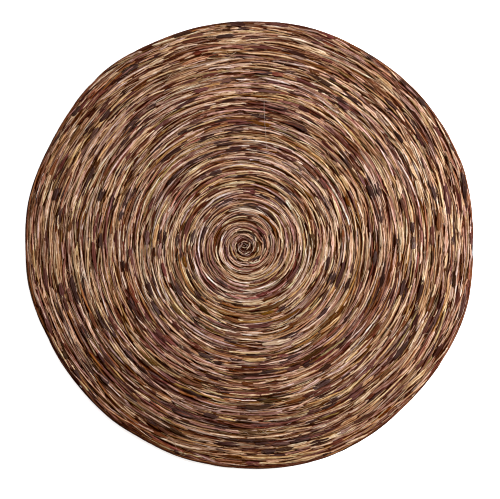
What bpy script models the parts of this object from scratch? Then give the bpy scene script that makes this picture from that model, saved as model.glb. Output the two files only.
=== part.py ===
"""Round coiled placemat of dried grass blades, lying flat.

One long bundle of blades is wound flat from the middle outwards and sewn to itself, turn by turn.
The solid has the mat's own uneven rim, one raised ridge for each turn of the coil, a last turn that
tapers away along the rim, and a flat underside. Metres, +Z up, +Y away from the person at the table.
The origin is the middle of the mat's bounding box, on the surface that it lies on.
"""

import math
from collections import namedtuple

import bmesh
import bpy
from mathutils import Vector, noise

# Driving sizes
MAT_RADIUS = 0.190  # mean radius, a 15 inch mat
TURNS = 36  # turns of the coil, counted from the middle to the rim
STEPS = 72  # facets round one turn
COIL_START = Vector((-0.0052, -0.0023))  # the coil began this far off the middle of the round rim

# Heights above the table
CREST = 0.0050  # top of a turn
GROOVE = 0.0036  # between two turns
RIM = 0.0022  # widest point of the outermost turn
RIM_UNDERCUT = 0.0014  # how far the flat underside stops short of the rim

# Hand-wound unevenness of the crests
CREST_SWELL = 0.0004  # how much a crest rises or falls
SWELL_SIZE = 0.035  # over this length
SWELL_SEED = 7.0

# How far the rim bulges out or draws in, in millimetres, at angles in degrees from +X towards +Y
Bulge = namedtuple("Bulge", "angle out_mm")
RIM_BULGES = [
    Bulge(0, -1.5), Bulge(21, 1.2), Bulge(40, 0.9), Bulge(60, -0.3), Bulge(74, 0.0), Bulge(90, -1.5),
    Bulge(112, -1.0), Bulge(130, 1.6), Bulge(152, -0.5), Bulge(170, 1.5), Bulge(182, 0.5), Bulge(190, 1.2),
    Bulge(206, -1.0), Bulge(220, -1.1), Bulge(230, -0.6), Bulge(240, -1.2), Bulge(252, -0.2), Bulge(262, -0.3),
    Bulge(290, 1.3), Bulge(301, 0.9), Bulge(313, -0.9), Bulge(328, -0.2), Bulge(342, 0.7), Bulge(356, -1.3),
]  # fmt: skip
BULGE_FADE = 4  # the power by which a bulge fades in the turns inside the rim

FULL_TURN = 2 * math.pi
WELD_DISTANCE = 1e-6
SHARP_RIDGE = math.radians(30)


def smooth(share):
    """Ease a share from 0 to 1, level at both ends."""
    return share * share * (3 - 2 * share)


def bulge(angle):
    """How far the rim stands out at an angle in radians, with the table's rows eased into one another."""
    degrees = math.degrees(angle) % 360
    following = [*RIM_BULGES[1:], Bulge(RIM_BULGES[0].angle + 360, RIM_BULGES[0].out_mm)]
    out_mm = RIM_BULGES[0].out_mm
    for near, far in zip(RIM_BULGES, following):
        if near.angle <= degrees <= far.angle:
            share = smooth((degrees - near.angle) / (far.angle - near.angle))
            out_mm = near.out_mm + (far.out_mm - near.out_mm) * share
    return 0.001 * out_mm


def coil_place(turn, angle):
    """Place seen from above of the coil, turns away from its start, about the middle of the round rim."""
    share = turn / TURNS
    radius = MAT_RADIUS * share + bulge(angle) * share**BULGE_FADE
    return COIL_START * (1 - share) + radius * Vector((math.cos(angle), math.sin(angle)))


def outline_middle():
    """Middle of the outline's bounding box, which is the part's origin."""
    rim = [coil_place(TURNS, FULL_TURN * step / STEPS) for step in range(STEPS)]
    xs = [point.x for point in rim]
    ys = [point.y for point in rim]
    return Vector((min(xs) + max(xs), min(ys) + max(ys))) / 2


ORIGIN = outline_middle()


def groove_turn(order, angle_share):
    """Turns from the middle to a groove, held between the coil's start and the rim."""
    return min(max(order + angle_share, 0), TURNS)


def swell(point):
    """Rise or fall of the hand-wound coil at a place seen from above."""
    return CREST_SWELL * noise.noise(Vector((point.x, point.y, 0)) / SWELL_SIZE + Vector((0, 0, SWELL_SEED)))


def groove_place(order, step):
    """Point of the groove inside turn number order, after some steps of its round."""
    angle_share = step / STEPS
    turn = groove_turn(order, angle_share)
    flat = coil_place(turn, FULL_TURN * angle_share) - ORIGIN
    to_rim = smooth(min(2 * (TURNS - turn), 1))
    return Vector((flat.x, flat.y, RIM + (GROOVE - RIM) * to_rim))


def crest_place(order, step):
    """Point of the crest of turn number order, midway between its two grooves."""
    angle_share = step / STEPS
    inner = groove_turn(order, angle_share)
    outer = groove_turn(order + 1, angle_share)
    flat = coil_place((inner + outer) / 2, FULL_TURN * angle_share) - ORIGIN
    width = outer - inner
    foot = (groove_place(order, step).z + groove_place(order + 1, step).z) / 2
    return Vector((flat.x, flat.y, foot + (CREST - GROOVE + swell(flat)) * smooth(width)))


def add_coil_top(bm):
    """Wind a grid of crests and grooves into the mat's upper face and weld its turns together."""
    lines = 2 * (TURNS + 1)
    bmesh.ops.create_grid(bm, x_segments=STEPS, y_segments=lines, size=0.5)
    for vert in bm.verts:
        step = round((vert.co.x + 0.5) * STEPS)
        line = round((vert.co.y + 0.5) * lines)
        order = line // 2 - 1
        vert.co = crest_place(order, step) if line % 2 else groove_place(order, step)
    bmesh.ops.remove_doubles(bm, verts=bm.verts, dist=WELD_DISTANCE)


def add_underside(bm):
    """Turn the rim under to the table and close the flat underside."""
    rim = [edge for edge in bm.edges if edge.is_boundary]
    made = bmesh.ops.extrude_edge_only(bm, edges=rim)["geom"]
    for vert in [item for item in made if isinstance(item, bmesh.types.BMVert)]:
        inward = -Vector((vert.co.x, vert.co.y, 0)).normalized()
        vert.co += inward * RIM_UNDERCUT
        vert.co.z = 0
    foot = [edge for edge in bm.edges if edge.is_boundary]
    bmesh.ops.edgeloop_fill(bm, edges=foot)
    bmesh.ops.recalc_face_normals(bm, faces=bm.faces)


def dried_grass():
    """Brown dried grass, matt with a slight sheen."""
    material = bpy.data.materials.new("dried_grass")
    material.use_nodes = True
    shader = material.node_tree.nodes["Principled BSDF"]
    shader.inputs["Base Color"].default_value = (0.26, 0.13, 0.075, 1)
    shader.inputs["Roughness"].default_value = 0.65
    shader.inputs["Metallic"].default_value = 0
    return material


def build_coiled_mat():
    """The whole mat, one solid in one node."""
    bm = bmesh.new()
    add_coil_top(bm)
    add_underside(bm)
    mesh = bpy.data.meshes.new("coiled_mat")
    bm.to_mesh(mesh)
    bm.free()
    mesh.materials.append(dried_grass())
    mesh.shade_smooth()
    mesh.set_sharp_from_angle(angle=SHARP_RIDGE)
    mat = bpy.data.objects.new("coiled_mat", mesh)
    bpy.context.scene.collection.objects.link(mat)
    return mat


for existing in list(bpy.data.objects):
    bpy.data.objects.remove(existing)
build_coiled_mat()
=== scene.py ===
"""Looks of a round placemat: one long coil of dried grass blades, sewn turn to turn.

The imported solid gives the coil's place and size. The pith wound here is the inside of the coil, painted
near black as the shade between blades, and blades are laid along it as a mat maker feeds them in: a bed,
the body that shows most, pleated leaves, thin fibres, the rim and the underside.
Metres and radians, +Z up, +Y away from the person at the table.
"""

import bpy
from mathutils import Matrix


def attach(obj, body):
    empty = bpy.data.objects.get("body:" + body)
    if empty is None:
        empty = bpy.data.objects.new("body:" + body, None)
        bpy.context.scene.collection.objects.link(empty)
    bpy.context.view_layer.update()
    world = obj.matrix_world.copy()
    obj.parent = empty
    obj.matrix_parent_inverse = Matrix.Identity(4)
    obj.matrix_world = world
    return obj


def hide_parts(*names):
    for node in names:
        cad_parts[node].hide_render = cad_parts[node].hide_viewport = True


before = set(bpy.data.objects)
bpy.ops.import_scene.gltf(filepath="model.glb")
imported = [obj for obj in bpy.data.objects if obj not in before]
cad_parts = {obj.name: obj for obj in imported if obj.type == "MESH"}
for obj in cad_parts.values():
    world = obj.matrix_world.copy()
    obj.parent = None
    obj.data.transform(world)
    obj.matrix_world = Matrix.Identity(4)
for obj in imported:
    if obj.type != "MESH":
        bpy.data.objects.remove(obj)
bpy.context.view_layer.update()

import logging
import math
from collections.abc import Callable
from dataclasses import dataclass, field, replace
from enum import Enum

import bmesh
import bpy
import numpy as np
from mathutils import Vector

Array = np.ndarray
Rng = np.random.Generator
MM = 0.001
FULL_TURN = 2 * math.pi
EYE_GAMMA = 2.2  # linear light to about the brightness that the eye takes it for
SHADE_AND_STAIN_POWER = (1.0, 1.5, 1.95)  # darker grass is redder, as its thick parts hold back blue light most; the same powers make the painted shade of edges, grooves and lower layers redder
PALEST = 0.55  # linear light of the palest that grass dries to
TABLE_GAP = 0.02 * MM  # no blade goes lower than this above the table
SEED = 41
LOG = logging.getLogger("placemat")


def linear(colour: str) -> tuple[float, float, float]:
    """Turn an sRGB hex colour to linear light.

    Args:
        colour: The colour, such as "#dcc096".

    Returns:
        Red, green and blue in linear light.
    """
    parts = [int(colour[place : place + 2], 16) / 255 for place in (1, 3, 5)]
    return tuple(part / 12.92 if part <= 0.04045 else ((part + 0.055) / 1.055) ** 2.4 for part in parts)


def smooth(share: Array) -> Array:
    """Ease shares from 0 to 1, level at both ends."""
    return share * share * (3 - 2 * share)


def wander(along: Array, spacing: float, rng: Rng) -> Array:
    """Give uneven values that pass smoothly along the bundle.

    Args:
        along: Lengths along the bundle.
        spacing: The length over which the values change.
        rng: The source of unevenness.

    Returns:
        Values about 0, most of them between -1 and 1.
    """
    knots = rng.normal(0, 0.7, int(along.max() / spacing) + 3)
    return np.interp(along / spacing, np.arange(len(knots)), knots)


@dataclass(frozen=True)
class Bulge:
    """How far the rim bulges out, in millimetres, at an angle in degrees."""

    angle: float
    out_mm: float


@dataclass(frozen=True)
class Coil:
    """The wound bundle. A place on it is a turn, counted outwards from its start, and an angle."""

    radius: float = 190 * MM
    turns: int = 36
    start: tuple[float, float] = (-5.2 * MM, -2.3 * MM)  # from the middle of the round rim
    crest: float = 5.0 * MM
    groove: float = 3.6 * MM
    rim: float = 2.2 * MM
    under_ridge: float = 0.9 * MM
    steps: int = 72
    bulge_fade: int = 4  # the power by which a bulge fades in the turns inside the rim
    search_rounds: int = 20
    bulges: tuple[Bulge, ...] = (
        Bulge(0, -1.5), Bulge(21, 1.2), Bulge(40, 0.9), Bulge(60, -0.3), Bulge(74, 0.0), Bulge(90, -1.5),
        Bulge(112, -1.0), Bulge(130, 1.6), Bulge(152, -0.5), Bulge(170, 1.5), Bulge(182, 0.5),
        Bulge(190, 1.2), Bulge(206, -1.0), Bulge(220, -1.1), Bulge(230, -0.6), Bulge(240, -1.2),
        Bulge(252, -0.2), Bulge(262, -0.3), Bulge(290, 1.3), Bulge(301, 0.9), Bulge(313, -0.9),
        Bulge(328, -0.2), Bulge(342, 0.7), Bulge(356, -1.3),
    )  # fmt: skip

    @property
    def pitch(self) -> float:
        """Width of one turn."""
        return self.radius / self.turns

    @property
    def length(self) -> float:
        """Length of the whole bundle."""
        return self.length_at(self.turns)

    def length_at(self, turn: Array) -> Array:
        """Length along the bundle to a turn."""
        return math.pi * self.pitch * turn**2

    def turn_at(self, length: Array) -> Array:
        """Turns from the coil's start to a length along the bundle."""
        return np.sqrt(np.maximum(length, 0) / (math.pi * self.pitch))

    def bulge(self, angle: Array) -> Array:
        """How far the rim stands out.

        Args:
            angle: Angles from +X towards +Y.

        Returns:
            The bulge outwards at each angle.
        """
        rows = [*self.bulges, Bulge(360, self.bulges[0].out_mm)]
        at = np.array([row.angle for row in rows])
        out = np.array([row.out_mm for row in rows]) * MM
        degrees = np.degrees(angle) % 360
        near = np.clip(np.searchsorted(at, degrees, side="right") - 1, 0, len(rows) - 2)
        share = smooth((degrees - at[near]) / (at[near + 1] - at[near]))
        return out[near] + (out[near + 1] - out[near]) * share

    def round_place(self, turn: Array, angle: Array) -> Array:
        """Places seen from above, about the middle of the round rim.

        Args:
            turn: Turns from the coil's start.
            angle: Angles from +X towards +Y.

        Returns:
            The places, with X and Y on the last axis.
        """
        share = np.asarray(turn) / self.turns
        radius = self.radius * share + self.bulge(angle) * share**self.bulge_fade
        along_x = self.start[0] * (1 - share) + radius * np.cos(angle)
        along_y = self.start[1] * (1 - share) + radius * np.sin(angle)
        return np.stack([along_x, along_y], axis=-1)

    @property
    def origin(self) -> Array:
        """Middle of the outline's box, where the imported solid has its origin."""
        rim = self.round_place(self.turns, np.arange(self.steps) * FULL_TURN / self.steps)
        return (rim.min(axis=0) + rim.max(axis=0)) / 2

    def place(self, turn: Array, angle: Array) -> Array:
        """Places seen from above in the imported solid's own frame."""
        return self.round_place(turn, angle) - self.origin

    def find(self, x: Array, y: Array) -> tuple[Array, Array]:
        """Find the turn and the angle of places.

        Args:
            x: The places' X, from the middle of the round rim.
            y: The places' Y, from there.

        Returns:
            Their turns and angles.
        """
        turn = np.hypot(x, y) / self.pitch
        for _ in range(self.search_rounds):
            away_x = x - self.start[0] * (1 - turn / self.turns)
            away_y = y - self.start[1] * (1 - turn / self.turns)
            angle = np.arctan2(away_y, away_x)
            outward = self.bulge(angle) * (turn / self.turns) ** self.bulge_fade
            turn = (np.hypot(away_x, away_y) - outward) / self.pitch
        return turn, angle

    def band(self, turn: Array, angle: Array) -> tuple[Array, Array]:
        """Where places lie across their turn of the coil.

        Args:
            turn: Turns from the coil's start.
            angle: Angles from +X towards +Y.

        Returns:
            The share of the way from the inner to the outer groove, and the turn's width there, which is
            1 but for the first turn and the last, where the bundle tapers.
        """
        wound = (angle / FULL_TURN) % 1
        order = np.floor(turn - wound)
        inner = np.clip(order + wound, 0, self.turns)
        outer = np.clip(order + 1 + wound, 0, self.turns)
        width = np.maximum(outer - inner, 1e-4)
        return np.clip((turn - inner) / width, 0, 1), width

    def height(self, turn: Array, angle: Array) -> Array:
        """Height of the upper face.

        Args:
            turn: Turns from the coil's start.
            angle: Angles from +X towards +Y.

        Returns:
            The heights above the table.
        """
        share, width = self.band(turn, angle)
        to_rim = smooth(np.clip(2 * (self.turns - turn), 0, 1))
        foot = self.rim + (self.groove - self.rim) * to_rim
        return foot + (self.crest - self.groove) * smooth(np.clip(width, 0, 1)) * np.sin(math.pi * share)

    def under_height(self, turn: Array, angle: Array) -> Array:
        """Height of the underside, whose ridges reach down to the table.

        Args:
            turn: Turns from the coil's start.
            angle: Angles from +X towards +Y.

        Returns:
            The heights above the table.
        """
        share, _ = self.band(turn, angle)
        to_rim = smooth(np.clip(self.turns - turn, 0, 1))
        return self.under_ridge * (1 - np.sin(math.pi * share) * to_rim)


class Tone(Enum):
    """Colours that the blades dried to, from pale to dark."""

    STRAW = "#e5c9a5"
    SHELL = "#dfc3aa"
    SAND = "#ceae90"
    HONEY = "#c5a382"
    ROSE = "#b4957f"
    ASH = "#a28670"
    OLIVE = "#8b7254"
    CINNAMON = "#946e54"
    MAUVE = "#916f65"
    RUST = "#925f49"
    CHESTNUT = "#784f3c"
    UMBER = "#663c23"
    PLUM = "#5f3c39"
    INK = "#42302b"


class Section(Enum):
    """Cross-sections of a blade, across and up, in halves of its width and thickness."""

    PLEATED = ((1, 0), (0.6, 0.9), (0.1, 0.3), (-0.42, 1), (-1, 0), (0, -0.8))
    KEEL = ((0.95, -0.2), (0.5, 0.7), (-0.25, 1), (-0.95, -0.1), (0, -0.8))
    DIAMOND = ((1, 0), (0.1, 1), (-1, 0), (0, -0.7))
    WEDGE = ((0.9, -0.1), (0, 1), (-0.9, -0.1))


@dataclass(frozen=True)
class Cut:
    """One sort of blade. Pairs are its least and greatest size, in metres."""

    section: Section
    rings: int
    length: tuple[float, float]
    width: tuple[float, float]
    thickness: tuple[float, float]
    tones: dict[Tone, float]
    waver: tuple[float, float] = (0.05 * MM, 0.30 * MM)  # how far a blade sways from its line
    waves: float = 1.3  # sways along one blade
    point: tuple[float, float] = (1.8, 7.0)  # power of the taper: the greater, the blunter


@dataclass
class Run:
    """Blades laid along the coil, with one value in each field for each blade."""

    turn: Array
    angle: Array
    length: Array
    width: Array
    thickness: Array
    lift: Array
    slant: Array
    roll: Array
    twist: Array
    waver: Array
    phase: Array
    point: Array
    seed: Array
    colour: Array


@dataclass(frozen=True)
class Patch:
    """A handful of paler or darker grass: its middle, length and width in millimetres."""

    x: float
    y: float
    length: float
    width: float
    paleness: float


@dataclass(frozen=True)
class Handfuls:
    """The handfuls of grass that a maker took up one after another.

    Blades of one handful dried alike, so like colours lie side by side along the bundle.
    """

    reach: float = 34 * MM  # length over which one handful passes into the next
    strands: int = 3  # handfuls side by side in the bundle
    likeness: float = 0.24  # how alike the blades of one handful are in paleness, up to 1
    bluer: float = 0.056  # how far handfuls differ in blue
    redder: float = 0.026  # and in red
    least_red: float = 0.075  # red over green, because none dries green
    most_blue: float = 0.91  # blue over green, because none dries violet
    least_seen: float = 0.04  # brightness of the darkest grass
    light_spread: float = 0.09  # from blade to blade
    seed: int = 5
    # Brightness of the grass at these turns of the coil
    band_light: tuple[tuple[float, float], ...] = (
        (0, 0.92), (4, 0.96), (6, 1.05), (9, 1.09), (13, 1.0), (17, 0.97), (20, 0.90), (23, 0.91),
        (26, 0.98), (29, 0.92), (31, 0.83), (34, 0.84), (36, 0.88),
    )  # fmt: skip
    patches: tuple[Patch, ...] = (
        Patch(-96.5, 150.5, 29, 5, -1.5), Patch(-24.5, 175, 24, 4, -1.3), Patch(42, 175, 25, 4, -1),
        Patch(94.5, 135, 17, 5, -0.5), Patch(76, 117.5, 20, 7, -1), Patch(-117, 134, 19, 5, -1.2),
        Patch(-147.5, 115, 22, 4, -1.3), Patch(-20, 103, 60, 6, -1.6), Patch(-85, 81.5, 37, 6, -0.4),
        Patch(-51, 157, 25, 4, -0.9), Patch(0, 145, 34, 5, -1.6), Patch(17, 115.5, 37, 6, -1.2),
        Patch(80.5, 87, 29, 6, -1.3), Patch(105.5, 34.5, 30, 6, -1.3), Patch(97.5, 55.5, 25, 5, -0.7),
        Patch(-2, 32, 24, 4, -1.2), Patch(-66, 55.5, 29, 5, -1), Patch(-112, 43.5, 37, 7, -0.8),
        Patch(-145, 24, 29, 6, -1.3), Patch(-183, -9.5, 34, 3, 0.8), Patch(-163.5, -39.5, 25, 7, -1.2),
        Patch(-178, -56, 34, 5, -1), Patch(-156, -90, 51, 7, -1.2), Patch(-118.5, -145, 59, 7, -1.2),
        Patch(-125.5, -69, 22, 5, -1.2), Patch(-100, -50.5, 19, 5, -1), Patch(-118.5, -107, 36, 8, -1.5),
        Patch(-86.5, -130.5, 29, 7, -1.5), Patch(-53.5, -142.5, 37, 7, -1.5),
        Patch(-103.5, -92.5, 20, 5, -1.2), Patch(-51, -112, 29, 6, -1.4), Patch(-35.5, -95, 24, 4, -1),
        Patch(-34, -48, 24, 5, -1), Patch(-78, -79, 29, 8, -0.8), Patch(-24, -32.5, 19, 3, -0.8),
        Patch(-42.5, -15.5, 22, 4, -1), Patch(31, -34, 20, 3, -1), Patch(66, -31.5, 19, 6, -1.5),
        Patch(105.5, -12, 25, 5, -1.3), Patch(104, -50, 52, 8, -1.8), Patch(71, -83.5, 25, 7, -1.5),
        Patch(30.5, -77.5, 27, 4, -1), Patch(-18.5, -82.5, 20, 3, -0.8), Patch(-2.5, -95, 30, 4, -1.2),
        Patch(-6, -113, 29, 5, -1.5), Patch(17.5, -108, 24, 4, -1.3), Patch(86.5, -130, 34, 8, -1.2),
        Patch(110, -123, 29, 5, -1.4), Patch(0, -154.5, 54, 5, -1.2), Patch(-8.5, -167, 63, 4, -1.5),
        Patch(46.5, -164.5, 27, 6, -1.7), Patch(128.5, -86, 24, 5, -1.3), Patch(153, -63, 29, 5, -1.3),
        Patch(167.5, 34.5, 30, 4, -0.7), Patch(136, -17.5, 20, 4, -1), Patch(136, 103, 29, 6, -1.3),
        Patch(-24.5, 117.5, 22, 5, 1), Patch(-16, 172.5, 20, 4, 1.5), Patch(45, 43.5, 42, 11, 0.8),
        Patch(-46, 13, 22, 8, 1.4), Patch(123, 39, 37, 8, 2.2), Patch(98, 4.5, 37, 4, 1.4),
        Patch(111.5, -2, 30, 5, 1.4), Patch(128.5, 3, 29, 5, 1.2), Patch(175, 18.5, 27, 5, 1.3),
        Patch(166.5, 60.5, 22, 4, 1.2), Patch(123, 88, 32, 6, 1.6), Patch(115, 130, 20, 6, 1.2),
        Patch(97.5, 93, 51, 10, 0.8), Patch(79.5, 125, 24, 6, 0.8), Patch(-84, -126, 30, 8, -1),
        Patch(-4.5, -42.5, 37, 8, 0.8), Patch(-162.5, -15.5, 47, 6, 1), Patch(-85.5, 25, 24, 4, 1.3),
        Patch(-76, -12, 22, 5, 1.6), Patch(-32.5, -108.5, 25, 7, 0.8), Patch(98, -131.5, 20, 5, 1.5),
        Patch(80.5, -159.5, 27, 4, 1.3), Patch(-10.5, -176.5, 47, 5, 0.3), Patch(42, -169.5, 22, 3, 1.4),
        Patch(-152.5, 95.5, 29, 6, 1), Patch(-68, 142, 30, 5, 0.8), Patch(148, -68, 24, 5, 1.3),
        Patch(173.5, -48, 34, 5, 0.8), Patch(64, -6.5, 34, 4, 1), Patch(57.5, 164, 24, 4, 0.5),
        Patch(-172, 40, 50, 7, 2.1), Patch(-71, -118, 34, 14, -1.5), Patch(136, 78, 44, 6, 1.5),
        Patch(79, 138.5, 22, 6, 1.5), Patch(162, 36, 44, 6, 1.4), Patch(14, 44, 40, 8, -1),
        Patch(-58, -176, 50, 6, -1), Patch(127, -132, 26, 6, 1), Patch(-108, -70, 24, 6, -1),
        Patch(123, 117, 26, 5, 1), Patch(150, -104, 80, 6, 0.5), Patch(180, -34, 64, 6, 0.6),
        Patch(-91, 76, 18, 6, 1), Patch(33, -180, 40, 5, 1), Patch(25, 7, 16, 4, 1.4),
        Patch(143, -75, 26, 5, 1), Patch(69, -22, 16, 4, 1), Patch(140, -11, 22, 5, 1),
        Patch(0, 95, 26, 5, -1), Patch(97, 55, 10, 6, 1), Patch(-134, -70, 24, 5, 1.6),
        Patch(-86, 147, 24, 5, -1), Patch(-29, 33, 24, 5, -1), Patch(-58, 155, 24, 5, -0.9),
        Patch(-94, -141, 26, 5, -0.8), Patch(-170, -26, 24, 5, 1.2), Patch(-179, -42, 20, 4, -1),
        Patch(-155, 56, 24, 5, 1), Patch(-134, 17, 24, 5, 1), Patch(108, -60, 24, 6, -1),
        Patch(160, 17, 24, 5, 1.2), Patch(33, -24, 22, 4, 1.7), Patch(135, 67, 24, 5, 1),
        Patch(37, 161, 26, 5, -1), Patch(38, -69, 20, 5, 1), Patch(53, -82, 20, 4, -1),
        Patch(93, -145, 22, 5, 1), Patch(26, 51, 20, 4, -1), Patch(-150, 5, 170, 60, 0.3),
        Patch(-36, -173, 34, 5, -1.2), Patch(101, 127, 24, 5, 1.2), Patch(91, 26, 26, 5, -1.2),
        Patch(126, 133, 26, 6, -1.3), Patch(140, 119, 26, 5, 1.2), Patch(-23, -26, 20, 4, 1.2),
        Patch(-83, 56, 24, 5, -1.2), Patch(-24, 16, 20, 4, -1.2), Patch(-30, 110, 24, 4, -1),
        Patch(37, 10, 40, 30, 0.7), Patch(-37, 10, 40, 30, 0.5), Patch(10, 37, 36, 30, -0.1),
        Patch(73, 20, 45, 30, 0.7), Patch(-38, 66, 120, 30, -0.2), Patch(-73, -20, 45, 30, 0.6),
        Patch(-106, 28, 60, 34, 0.5), Patch(0, 142, 140, 30, 0.4), Patch(-137, 37, 75, 30, 0.6),
        Patch(-37, -137, 75, 30, -0.25), Patch(100, -100, 75, 30, -0.25), Patch(160, 43, 85, 17, 0.7),
        Patch(-117, -117, 85, 17, -0.6), Patch(-60, 170, 120, 12, 0.4), Patch(-174, -47, 90, 12, 0.5),
        Patch(130, 35, 100, 90, 0.2), Patch(-24, -105, 30, 6, -1), Patch(-128, -30, 26, 6, -1.1),
        Patch(-71, 137, 24, 5, 1.1), Patch(48, 31, 22, 5, 1.1), Patch(143, -115, 26, 6, -1.1),
        Patch(-37, -180, 26, 6, -1), Patch(-42, -25, 22, 5, -1), Patch(107, 61, 24, 5, -1),
        Patch(151, -24, 26, 5, -1), Patch(-121, 127, 26, 6, 1), Patch(-68, -92, 26, 6, -1),
        Patch(-125, -134, 26, 6, -1), Patch(-16, -131, 26, 6, -1), Patch(48, -80, 24, 5, -0.9),
        Patch(167, 75, 24, 5, -0.9), Patch(-82, -160, 24, 6, 0.8),
    )  # fmt: skip

    def unevenness(self, along: Array, share: Array, seed: int) -> Array:
        """How the handfuls differ from one another, about 0.

        Args:
            along: Lengths along the bundle.
            share: Shares of the way across it.
            seed: The seed of this unevenness.

        Returns:
            One value for each length.
        """
        rng = np.random.default_rng(seed)
        tables = np.stack([wander(along, self.reach, rng) for _ in range(self.strands)])
        strand = np.clip((share * self.strands).astype(int), 0, self.strands - 1)
        return tables[strand, np.arange(len(along))] / 0.7 + 0.45 * wander(along, 9 * self.reach, rng)

    def patched(self, coil: Coil, turn: Array, angle: Array, length: Array) -> tuple[Array, Array]:
        """Find the patches that blades belong to.

        Args:
            coil: The coil that the blades lie along.
            turn: The blades' turns.
            angle: Their angles.
            length: Their lengths.

        Returns:
            How much paler the patches make each blade, and the greatest length that it can have there.
        """
        paler = np.zeros(len(turn))
        longest = np.full(len(turn), np.inf)
        for patch in self.patches:
            turn_at, towards = coil.find(patch.x * MM, patch.y * MM)
            away = (angle - towards + math.pi) % FULL_TURN - math.pi
            reach = (patch.length * MM + 0.5 * np.minimum(length, patch.length * MM)) / 2
            along = away * turn * coil.pitch / reach
            across = 2 * (turn - turn_at) * coil.pitch / (patch.width * MM)
            weight = np.exp(-(along**4) - across**4)
            paler += patch.paleness * weight
            longest = np.where(weight > 0.5, np.minimum(longest, 1.3 * patch.length * MM), longest)
        return paler, longest

    def light(self, coil: Coil, turn: Array, angle: Array) -> Array:
        """Light that blades keep: some turns are paler or darker, and blades in a groove get painted shade.

        Args:
            coil: The coil that the blades lie along.
            turn: The blades' turns.
            angle: Their angles.

        Returns:
            A share of light for each blade, about 1.
        """
        turns, lights = zip(*self.band_light)
        share, _ = coil.band(turn, angle)
        # Painted shade: blades are darker towards the grooves on both sides of a turn.
        return np.interp(turn, turns, lights) * (0.88 + 0.22 * np.sin(math.pi * share))

    def colours(
        self, coil: Coil, turn: Array, angle: Array, paler: Array, tones: dict[Tone, float], rng: Rng
    ) -> Array:
        """Choose the colour of each blade.

        Args:
            coil: The coil that the blades lie along.
            turn: The blades' turns.
            angle: Their angles.
            paler: How much paler their patches make them.
            tones: The tones to choose from, pale to dark, with their shares.
            rng: The source of unevenness.

        Returns:
            Linear colours, a row for each blade.
        """
        share, _ = coil.band(turn, angle)
        along = coil.length_at(turn)
        score = self.likeness * self.unevenness(along, share, self.seed)
        score += math.sqrt(1 - self.likeness**2) * rng.normal(size=len(turn)) + paler
        darkness = 1 - (score.argsort().argsort() + 0.5) / len(turn)
        shares = np.cumsum(list(tones.values())) / sum(tones.values())
        picked = np.array([linear(tone.value) for tone in tones])[np.searchsorted(shares, darkness)]
        bluer = self.unevenness(along, share, self.seed + 1) + rng.normal(0, 0.15, len(turn))
        redder = self.unevenness(along, share, self.seed + 2) + rng.normal(0, 0.1, len(turn))
        seen = picked ** (1 / EYE_GAMMA)
        tint = np.clip(1.4 - seen.mean(axis=1), 0.5, 1.0)  # dark grass is tinted more
        redder = self.redder * tint * np.clip(redder, -2, 2)
        seen[:, 2] += self.bluer * tint * np.clip(bluer, -1.6, 1.6) - redder
        seen[:, 1] = np.minimum(seen[:, 1] - redder, seen[:, 0] - self.least_red)
        seen[:, 2] = np.minimum(seen[:, 2], self.most_blue * seen[:, 1])
        picked = np.maximum(seen, self.least_seen) ** EYE_GAMMA
        # The turn's brightness, painted shade in the grooves and a random spread from blade to blade, made
        # redder where darker.
        light = self.light(coil, turn, angle) * np.exp(rng.normal(0, self.light_spread, len(turn)))
        return picked * light[:, None] ** SHADE_AND_STAIN_POWER


def palest(colours: Array) -> Array:
    """Hold colours at or below the palest that grass dries to."""
    return colours * np.minimum(PALEST / colours.max(axis=1, keepdims=True), 1)


def add_node(
    tree: bpy.types.NodeTree, kind: str, settings: dict | None = None, links: dict | None = None
) -> bpy.types.Node:
    """Add a node with its settings and links.

    Args:
        tree: The node tree.
        kind: The node's type, such as "ShaderNodeTexNoise".
        settings: Attributes by name, and input values by socket name or number.
        links: Output sockets by the input socket name or number that they feed.

    Returns:
        The node.
    """
    node = tree.nodes.new(kind)
    for name, value in (settings or {}).items():
        if isinstance(name, str) and hasattr(node, name):
            setattr(node, name, value)
        else:
            node.inputs[name].default_value = value
    for name, socket in (links or {}).items():
        tree.links.new(socket, node.inputs[name])
    return node


@dataclass(frozen=True)
class Mottle:
    """One pattern that drying leaves on a blade.

    It has a size along and across the blade in millimetres. As its noise goes from low to high, the blade
    goes from its dark to its light.
    """

    along_mm: float
    across_mm: float
    detail: float
    low: float
    high: float
    dark: float
    light: float

    def add(self, tree: bpy.types.NodeTree, run: bpy.types.NodeSocket) -> tuple:
        """Add the pattern to a material.

        Args:
            tree: The material's nodes.
            run: The place on the blade in millimetres, along and across.

        Returns:
            The sockets of its noise and of its light.
        """
        size = (1 / self.along_mm, 1 / self.across_mm, 1)
        spread = add_node(tree, "ShaderNodeMapping", {"Scale": size}, {"Vector": run}).outputs[0]
        settings = {"noise_dimensions": "2D", "Scale": 1, "Detail": self.detail}
        noise = add_node(tree, "ShaderNodeTexNoise", settings, {"Vector": spread}).outputs["Fac"]
        limits = {"From Min": self.low, "From Max": self.high, "To Min": self.dark, "To Max": self.light}
        return noise, add_node(tree, "ShaderNodeMapRange", limits, {"Value": noise}).outputs[0]


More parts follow.
